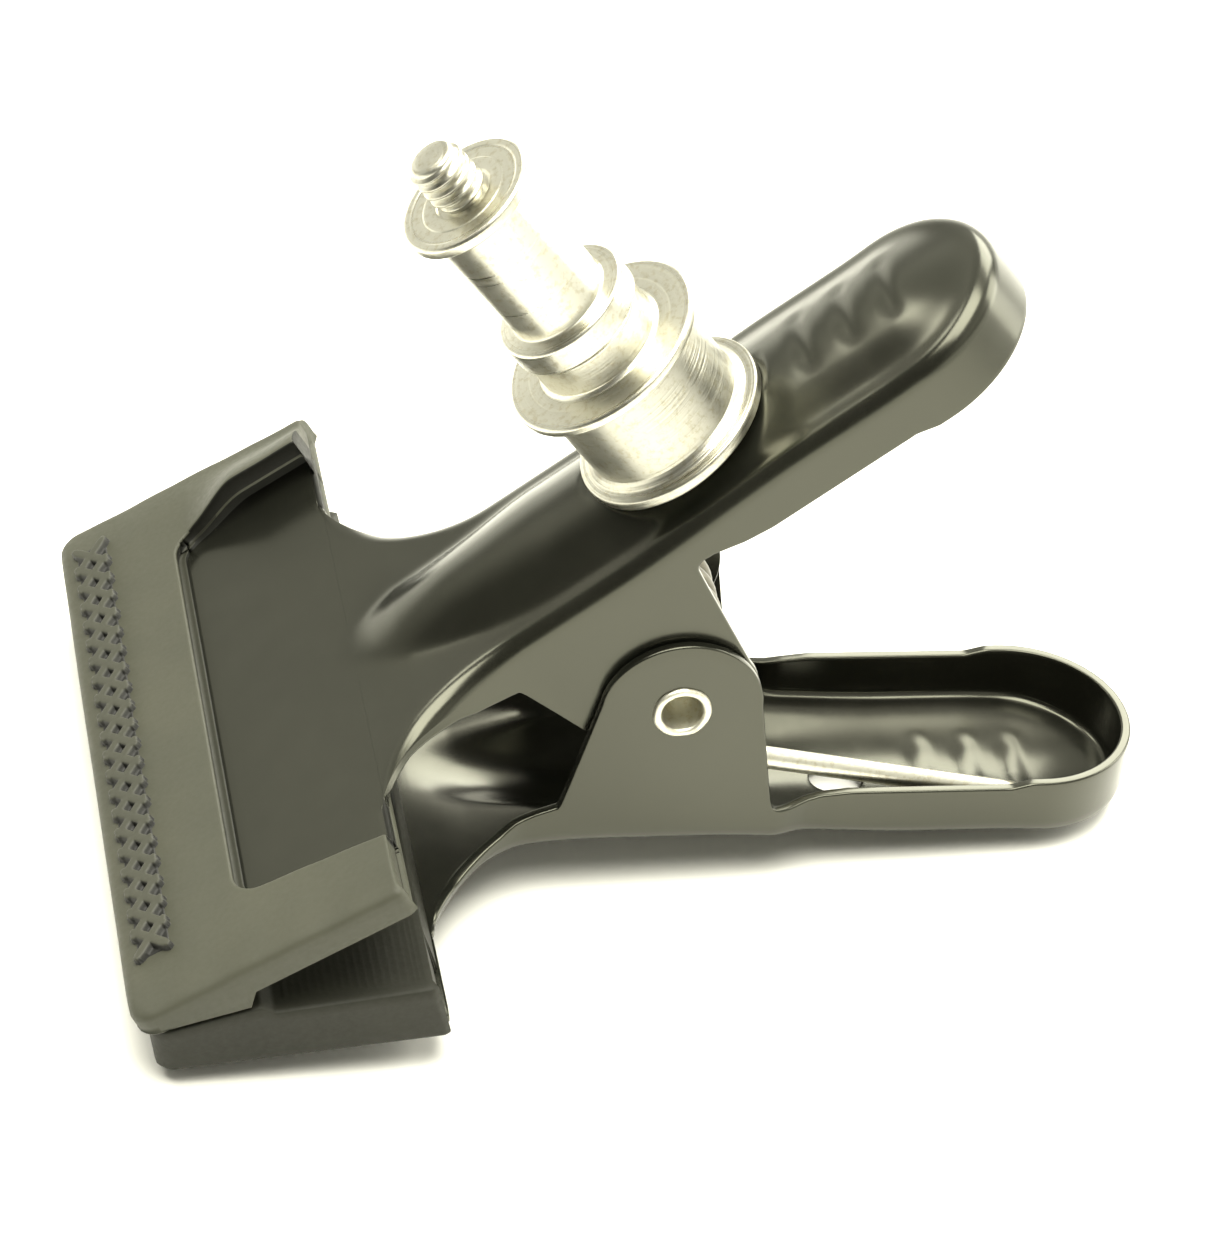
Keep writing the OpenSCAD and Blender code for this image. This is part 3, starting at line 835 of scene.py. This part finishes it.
def build_spigot():
    """Turned stud: flange, lower band, neck and collar."""
    profile = [(0, BASE_TOP), (11.6, BASE_TOP), (12.0, 37.25), (12.0, 38.05), (11.7, 38.3), (7.9, 38.3),
               (7.45, 38.7), (7.4, 42.7), (BAND_R, 43.0), (BAND_R, 46.0), (7.7, 46.25), (5.9, 46.4),
               (5.88, 62.9), (7.6, 63.05), (BAND_R, 63.3), (BAND_R, 64.35), (7.65, 64.6), (7.0, 64.6),
               (6.8, 64.52), (5.3, 64.52), (5.1, 64.6), (3.6, 64.6), (3.3, 64.3), (2.55, 64.3), (0, 64.3)]
    return spigot_piece("spigot_turned", *lathe(rounded(profile, 0.3), 160), "spigot")


def build_thread():
    """Thread on the spigot's tip: one helical surface with its root, crest and tapered ends."""
    pitch, r_out, r_in, lo, hi = 1.27, 3.175, 2.5, 64.25, 70.8
    rows, cols = 105, 72
    verts = []
    for i in range(rows):
        z = lo + (hi - 0.35 - lo) * i / (rows - 1)
        for j in range(cols):
            a = 2 * math.pi * j / cols
            f = (z / pitch - a / (2 * math.pi)) % 1.0
            tri = min(1.0, max(0.0, 1.25 * (1 - abs(2 * f - 1)) - 0.06))
            start, end = smoothstep(z, lo + 0.35, lo + 1.1), smoothstep(z, hi - 1.0, hi - 0.35)
            ends = float(start * (1 - end * 0.85))
            r = r_in + (r_out - r_in) * tri * ends
            verts.append((r * math.cos(a), r * math.sin(a), z))
    for r, z in ((2.45, hi - 0.12), (2.2, hi), (1.2, hi), (0.0001, hi)):
        for j in range(cols):
            a = 2 * math.pi * j / cols
            verts.append((r * math.cos(a), r * math.sin(a), z))
    return spigot_piece("spigot_thread", verts, grid_faces(len(verts) // cols, cols, wrap=True))


# ---------------------------------------------------------------- materials
def new_material(name):
    """A material with its node tree and its main shader."""
    m = bpy.data.materials.new(name)
    m.use_nodes = True
    nt = m.node_tree
    return m, nt, nt.nodes["Principled BSDF"]


def greys(*stops):
    """Ramp stops of plain grey, from pairs of position and value."""
    return [(place, (v, v, v, 1)) for place, v in stops]


def ramp(nt, source, stops):
    """Colour ramp over source, from pairs of position and colour."""
    r = nt.nodes.new("ShaderNodeValToRGB")
    r.color_ramp.elements[0].position, r.color_ramp.elements[0].color = stops[0][0], stops[0][1]
    r.color_ramp.elements[1].position, r.color_ramp.elements[1].color = stops[-1][0], stops[-1][1]
    for pos, col in stops[1:-1]:
        e = r.color_ramp.elements.new(pos)
        e.color = col
    nt.links.new(source, r.inputs[0])
    return r.outputs[0]


def axis_of(nt, vector, axis):
    """One axis of a vector."""
    n = nt.nodes.new("ShaderNodeSeparateXYZ")
    nt.links.new(vector, n.inputs[0])
    return n.outputs[axis]


def vector_math(nt, operation, vector, constant=None):
    """A vector operation, whose result is a number for a length or a dot product."""
    n = nt.nodes.new("ShaderNodeVectorMath")
    n.operation = operation
    if constant is not None:
        n.inputs[1].default_value = constant
    nt.links.new(vector, n.inputs[0])
    return n.outputs["Value" if operation in ("LENGTH", "DOT_PRODUCT") else "Vector"]


def map_to_one(nt, value, low, high, start):
    """Maps low to start and high to 1, and holds both ends."""
    n = nt.nodes.new("ShaderNodeMapRange")
    for key, v in (("From Min", low), ("From Max", high), ("To Min", start), ("To Max", 1.0)):
        n.inputs[key].default_value = v
    nt.links.new(value, n.inputs["Value"])
    return n.outputs["Result"]


def multiply(nt, a, b):
    """Product of two colours."""
    n = nt.nodes.new("ShaderNodeMix")
    n.data_type = "RGBA"
    n.blend_type = "MULTIPLY"
    n.inputs["Factor"].default_value = 1.0
    nt.links.new(a, n.inputs["A"])
    nt.links.new(b, n.inputs["B"])
    return n.outputs["Result"]


def bump(nt, bsdf, height, strength, distance, below=None):
    """Bump from height, laid over the bump below it if there is one."""
    b = nt.nodes.new("ShaderNodeBump")
    b.inputs["Strength"].default_value = strength
    b.inputs["Distance"].default_value = distance
    nt.links.new(height, b.inputs["Height"])
    if below is not None:
        nt.links.new(below, b.inputs["Normal"])
    nt.links.new(b.outputs[0], bsdf.inputs["Normal"])
    return b.outputs[0]


def object_place(nt):
    return nt.nodes.new("ShaderNodeTexCoord").outputs["Object"]


def noise(nt, scale, detail, rough=0.55):
    """Noise over the object's own space."""
    place = object_place(nt)
    n = nt.nodes.new("ShaderNodeTexNoise")
    n.inputs["Scale"].default_value = scale
    n.inputs["Detail"].default_value = detail
    n.inputs["Roughness"].default_value = rough
    nt.links.new(place, n.inputs["Vector"])
    return n.outputs["Fac"]


def paint_material():
    """Black enamel on the levers, slightly uneven in colour and gloss."""
    m, nt, b = new_material("satin_black_enamel")
    colour = ramp(nt, noise(nt, 55, 4), [(0.3, (0.0055, 0.0058, 0.0045, 1)),
                                         (0.7, (0.0085, 0.0088, 0.0065, 1))])
    nt.links.new(colour, b.inputs["Base Color"])
    nt.links.new(ramp(nt, noise(nt, 240, 2), greys((0.25, 0.20), (0.75, 0.26))), b.inputs["Roughness"])
    bump(nt, b, noise(nt, 500, 1), 0.012, 0.0001)
    b.inputs["Specular IOR Level"].default_value = 0.75
    b.inputs["Specular Tint"].default_value = (1.0, 1.0, 0.82, 1)
    return m


def rubber_material(name, painted_pit_shade=False, tone=1.0):
    """Moulded rubber; a smaller tone gives a darker, less glossy copy that stands for rubber in shade, as
    painted shade; for the lattice, shade is painted on the floor of the pits below its arms.
    """
    m, nt, b = new_material(name)
    big = noise(nt, 70, 5)
    colour = ramp(nt, big, [(0.3, (0.036 * tone, 0.037 * tone, 0.024 * tone, 1)),
                            (0.7, (0.046 * tone, 0.046 * tone, 0.030 * tone, 1))])
    if painted_pit_shade:
        # painted shade in the pits, darker towards their floor: metres out from the pivot, from just over the
        # lattice's floor to just under the arms' tops
        height = map_to_one(nt, axis_of(nt, object_place(nt), "Z"), 0.02030, 0.02092, 0.0)
        colour = multiply(nt, colour, ramp(nt, height, greys((0.0, 0.05), (0.7, 0.22), (1.0, 0.80))))
    nt.links.new(colour, b.inputs["Base Color"])
    fine = noise(nt, 1500, 3)
    nt.links.new(ramp(nt, fine, greys((0.25, 0.52), (0.75, 0.66))), b.inputs["Roughness"])
    first = bump(nt, b, noise(nt, 260, 3), 0.08, 0.0006)
    bump(nt, b, fine, 0.06, 0.0002, first)
    b.inputs["Specular IOR Level"].default_value = 0.2 + 0.3 * tone
    return m


def nickel_material(name, tone, rough, marks, painted_shade_within=0.0):
    """Plated metal with marks that run round its axis.

    The axis is the part's own z or, given a shade radius, the pivot's: shade is then painted,
    nearly black, within that many metres of the pivot, for the coil that sits in shadow between the levers.
    """
    m, nt, b = new_material(name)
    b.inputs["Metallic"].default_value = 1.0
    place = object_place(nt)
    across, along = (1.0, 1.0, 0.0), "Z"
    if painted_shade_within:
        place = vector_math(nt, "SUBTRACT", place, tuple(pin))
        across, along = (1.0, 0.0, 1.0), "Y"
    radius = vector_math(nt, "LENGTH", vector_math(nt, "MULTIPLY", place, across))
    ring = nt.nodes.new("ShaderNodeCombineXYZ")
    nt.links.new(radius, ring.inputs["X"])
    nt.links.new(axis_of(nt, place, along), ring.inputs["Z"])
    turned = nt.nodes.new("ShaderNodeTexNoise")
    turned.inputs["Scale"].default_value = 2600
    turned.inputs["Detail"].default_value = 3
    nt.links.new(ring.outputs[0], turned.inputs["Vector"])
    streak = turned.outputs["Fac"]
    cloud = noise(nt, 1300, 5, 0.7)
    lo, hi = tone * 0.84, tone
    colour = ramp(nt, cloud, [(0.36, (lo, lo * 0.94, lo * 0.74, 1)), (0.5, (hi, hi * 0.98, hi * 0.86, 1))])
    # painted shade: near black on the coil round the pivot, fading out just beyond the given radius
    if painted_shade_within:
        mix = nt.nodes.new("ShaderNodeMix")
        mix.data_type = "RGBA"
        mix.inputs["A"].default_value = (0.05, 0.045, 0.035, 1)
        nt.links.new(map_to_one(nt, radius, painted_shade_within, painted_shade_within + 0.003, 0.10), mix.inputs["Factor"])
        nt.links.new(colour, mix.inputs["B"])
        colour = mix.outputs["Result"]
    nt.links.new(colour, b.inputs["Base Color"])
    nt.links.new(ramp(nt, streak, greys((0.3, rough), (0.7, rough + 0.12))), b.inputs["Roughness"])
    bump(nt, b, streak, marks, 0.0002)
    return m


def floor_material():
    """Matt, nearly white sweep under the clamp."""
    m, nt, b = new_material("pale_sweep")
    colour = ramp(nt, noise(nt, 3, 2), [(0.3, (0.90, 0.895, 0.87, 1)), (0.7, (0.92, 0.915, 0.89, 1))])
    nt.links.new(colour, b.inputs["Base Color"])
    b.inputs["Roughness"].default_value = 0.7
    return m


def give(ob, material):
    """Makes material the only one on an object."""
    ob.data.materials.clear()
    ob.data.materials.append(material)
    for f in ob.data.polygons:
        f.material_index = 0


def paint_window_shade(ob, wall, ledge):
    """Paints shade round the upper boot's window: the walls and ledge of its stepped edge and the curled far
    flap's wall get their own, darker rubber, which stands for the shade in these recesses.
    """
    ob.data.materials.append(wall)
    ob.data.materials.append(ledge)
    skin_h, curl_w, edge_w = 19.85, 4.2, 0.7
    to_jaw = unit_matrix(lever_matrix("upper", BEND)).inverted()
    for f in ob.data.polygons:
        x, y, z = (1000 * c for c in to_jaw @ f.center)
        upward = (to_jaw.to_3x3() @ f.normal).z
        side_edge = WINDOW_Y + window_lean(-x)
        flap = y > 0 and -x < 47
        beside = abs(y) > side_edge + (curl_w if flap else edge_w)
        if -x > WINDOW_A + edge_w or beside or z < POCKET_TOP - 0.1:
            continue
        # painted shade: the flap's wall and underside and the steps' walls take the darkest rubber, the ledge
        # a mid one
        steep = upward < 0.75
        if flap and (steep or abs(y) < side_edge - 0.05):
            f.material_index = 1
        elif z < skin_h:
            f.material_index = 1 if steep else 2


# ---------------------------------------------------------------- the clamp
paint = paint_material()
rubber = rubber_material("moulded_rubber")
# painted shade: the lattice's rubber darkens in the pits between its arms
lattice_painted_pit_shade = rubber_material("moulded_rubber_lattice_pit_shade", painted_pit_shade=True)
nickel = nickel_material("bright_nickel", 0.60, 0.25, 0.14)
turned = nickel_material("turned_nickel", 0.48, 0.27, 0.42)
# painted shade: the spring's coil is painted nearly black within 8.5 mm of the pivot, where it sits in shadow
wire_steel = nickel_material("spring_wire", 0.66, 0.28, 0.05, 0.0085)
zinc = nickel_material("rivet_zinc", 0.72, 0.42, 0.10)
# painted shade: darker copies of the rubber for the recessed walls and ledge round the upper boot's window
window_shade_rubber = rubber_material("moulded_rubber_window_painted_shade", tone=0.12)
# painted shade: the lower boot and its lattice are the same rubber, painted darker and less glossy for the
# shade they sit in near the floor
lower_rubber_painted_shade = rubber_material("moulded_rubber_lower_painted_shade", tone=0.35)
for side, joggle, hole in (("lower", JOGGLE, True), ("upper", 0.0, False)):
    give(build_lever(side, joggle, hole), paint)
    boot = build_boot(side)
    give(boot, rubber if side == "upper" else lower_rubber_painted_shade)
    if side == "upper":
        # painted shade on the window's walls and ledge and on the curled flap's wall
        paint_window_shade(boot, window_shade_rubber, rubber_material("moulded_rubber_ledge_painted_shade", tone=0.5))
    give(build_lattice(side), lattice_painted_pit_shade if side == "upper" else lower_rubber_painted_shade)
give(build_rivet(), zinc)
give(build_spring(), wire_steel)
give(build_spigot_base(), turned)
give(build_spigot(), nickel)
give(build_thread(), turned)
give(frame["nodes"]["spigot_screw"], zinc)


# ---------------------------------------------------------------- camera, floor and light
def from_lower(v):
    """A direction or distance in the lower lever's (u, y, up) axes, in the shared frame."""
    return low_u * v[0] + Y * v[1] - low_n * v[2]


# a long lens about 0.63 m from the pivot, in front of the clamp and above it
right = from_lower((0.97887, -0.16905, 0.11477))
up = from_lower((0.0148, 0.61889, 0.78534))
back = -from_lower((0.20379, 0.76707, -0.60834))
eye = pin + from_lower((-0.13261, -0.47872, 0.38120))
cam_data = bpy.data.cameras.new("camera")
cam_data.sensor_fit = "HORIZONTAL"
cam_data.sensor_width = 36.0
cam_data.lens = 159.4537
cam_data.clip_start = 0.01
cam = bpy.data.objects.new("camera", cam_data)
scene.collection.objects.link(cam)
cam.matrix_world = axes_matrix(right, up, back, eye)
scene.camera = cam

bpy.ops.mesh.primitive_plane_add(size=6, location=(0, 0, 0))
floor = bpy.context.object
floor.name = "floor"
give(floor, floor_material())


def area(name, at, size, power):
    """Warm rectangular light at a place, aimed at the clamp."""
    data = bpy.data.lights.new(name, "AREA")
    data.shape = "RECTANGLE"
    data.size, data.size_y = size
    data.energy = power
    data.color = (1.0, 0.985, 0.86)
    ob = bpy.data.objects.new(name, data)
    scene.collection.objects.link(ob)
    ob.location = at
    aim = Vector((0, 0, 0.03))
    ob.rotation_euler = (aim - Vector(at)).to_track_quat("-Z", "Y").to_euler()


area("key_back", (0.55, 0.85, 0.85), (0.8, 0.8), 19)
area("small_left", (-0.66, 0.45, 0.86), (0.26, 0.26), 1.9)
area("overhead", (-0.1, -0.15, 1.3), (1.2, 1.0), 40)
area("right_strip", (1.1, 0.2, 0.5), (0.5, 0.9), 10)

world = bpy.data.worlds.new("studio")
scene.world = world
world.use_nodes = True
wn = world.node_tree
background = wn.nodes["Background"]
background.inputs[1].default_value = 1.0
direction = wn.nodes.new("ShaderNodeTexCoord").outputs["Generated"]
# brightness by height: a bright floor and horizon, a dim band, a bright band and a dimmer ceiling
bands = ramp(wn, axis_of(wn, direction, "Z"), [
    (0.0, (2.1, 2.07, 1.78, 1)),
    (0.14, (1.9, 1.87, 1.60, 1)),
    (0.25, (0.62, 0.61, 0.51, 1)),
    (0.34, (0.52, 0.512, 0.43, 1)),
    (0.46, (1.25, 1.23, 1.04, 1)),
    (0.62, (0.85, 0.84, 0.72, 1)),
    (1.0, (0.60, 0.59, 0.51, 1))])
# a dark patch of the room in front and to the left
toward = vector_math(wn, "DOT_PRODUCT", direction, (-0.689, -0.593, 0.419))
patch = ramp(wn, toward, greys((0.30, 1.0), (0.78, 0.12)))
wn.links.new(multiply(wn, bands, patch), background.inputs[0])
scene.view_settings.view_transform = "Standard"
scene.view_settings.look = "None"
